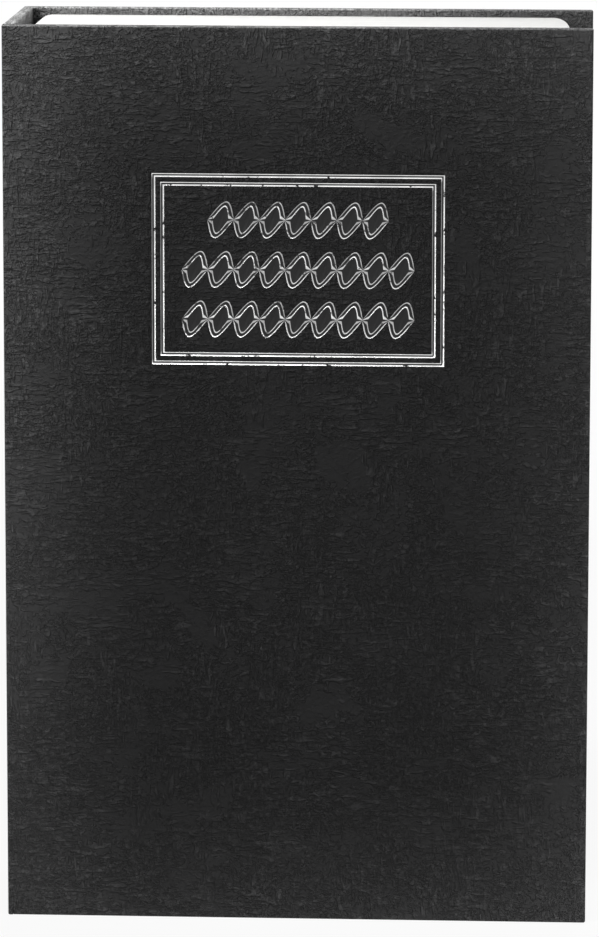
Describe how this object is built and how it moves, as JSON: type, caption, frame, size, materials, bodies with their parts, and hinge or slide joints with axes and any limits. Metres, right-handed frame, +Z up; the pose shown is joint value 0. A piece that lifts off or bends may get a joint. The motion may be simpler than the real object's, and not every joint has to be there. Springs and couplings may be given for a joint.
{
  "type": "book diversion safe",
  "caption": "Small steel safe with a hinged, keyed lid, hidden in a moulded page block inside a black leatherette hardback book case.",
  "frame": {"origin": "middle of the base, on the surface that the book stands on", "axes": "+X from the spine to the fore-edge, +Y from the front cover to the back cover, +Z up from tail to head"},
  "size_m": [0.155, 0.055, 0.24],
  "materials": {
    "leatherette": "matt black embossed leatherette",
    "greyboard": "grey bookbinder's board",
    "black_paper": "matt black lining paper",
    "silver_foil": "hot-stamped silver foil",
    "page_plastic": "white moulded plastic with fine page lines",
    "black_steel": "black powder coat",
    "zinc_steel": "zinc-plated steel",
    "lock_chrome": "polished chrome plate"
  },
  "bodies": {
    "case": {"spine_leatherette": "leatherette", "back_cover_leatherette": "leatherette", "spine_board": "greyboard", "back_cover_board": "greyboard", "back_endpaper": "black_paper", "spine_liner": "black_paper", "page_block_frame": "page_plastic", "safe_box": "black_steel", "hinge_leaf_box": "black_steel", "hinge_pin": "zinc_steel", "box_screw_1": "zinc_steel", "box_screw_2": "zinc_steel", "box_screw_3": "zinc_steel", "box_screw_4": "zinc_steel"},
    "front_cover": {"front_cover_leatherette": "leatherette", "front_cover_board": "greyboard", "front_endpaper": "black_paper", "front_foil_outer_frame": "silver_foil", "front_foil_inner_frame": "silver_foil", "front_foil_leaves_top": "silver_foil", "front_foil_leaves_middle": "silver_foil", "front_foil_leaves_bottom": "silver_foil"},
    "lid": {"safe_lid": "black_steel", "hinge_leaf_lid": "black_steel", "lock_housing": "lock_chrome", "lock_nut": "zinc_steel"},
    "lock_core": {"lock_plug": "lock_chrome", "lock_cam": "zinc_steel", "cam_washer": "zinc_steel", "cam_screw": "zinc_steel"}
  },
  "joints": [
    {"name": "cover_hinge", "type": "hinge", "parent": "case", "child": "front_cover", "pos_m": [-0.0775, -0.0275, 0.12], "axis": [0, 0, -1], "range_deg": [0, 180]},
    {"name": "lid_hinge", "type": "hinge", "parent": "case", "child": "lid", "pos_m": [-0.0612, -0.0221, 0.12], "axis": [0, 0, -1], "range_deg": [0, 110]},
    {"name": "lock_turn", "type": "hinge", "parent": "lid", "child": "lock_core", "pos_m": [0.04, -0.0223, 0.12], "axis": [0, 1, 0], "range_deg": [0, 90]}
  ],
  "couplings": [
    {"joint": "lid_hinge", "follows": "cover_hinge", "ratio": 0.58}
  ]
}
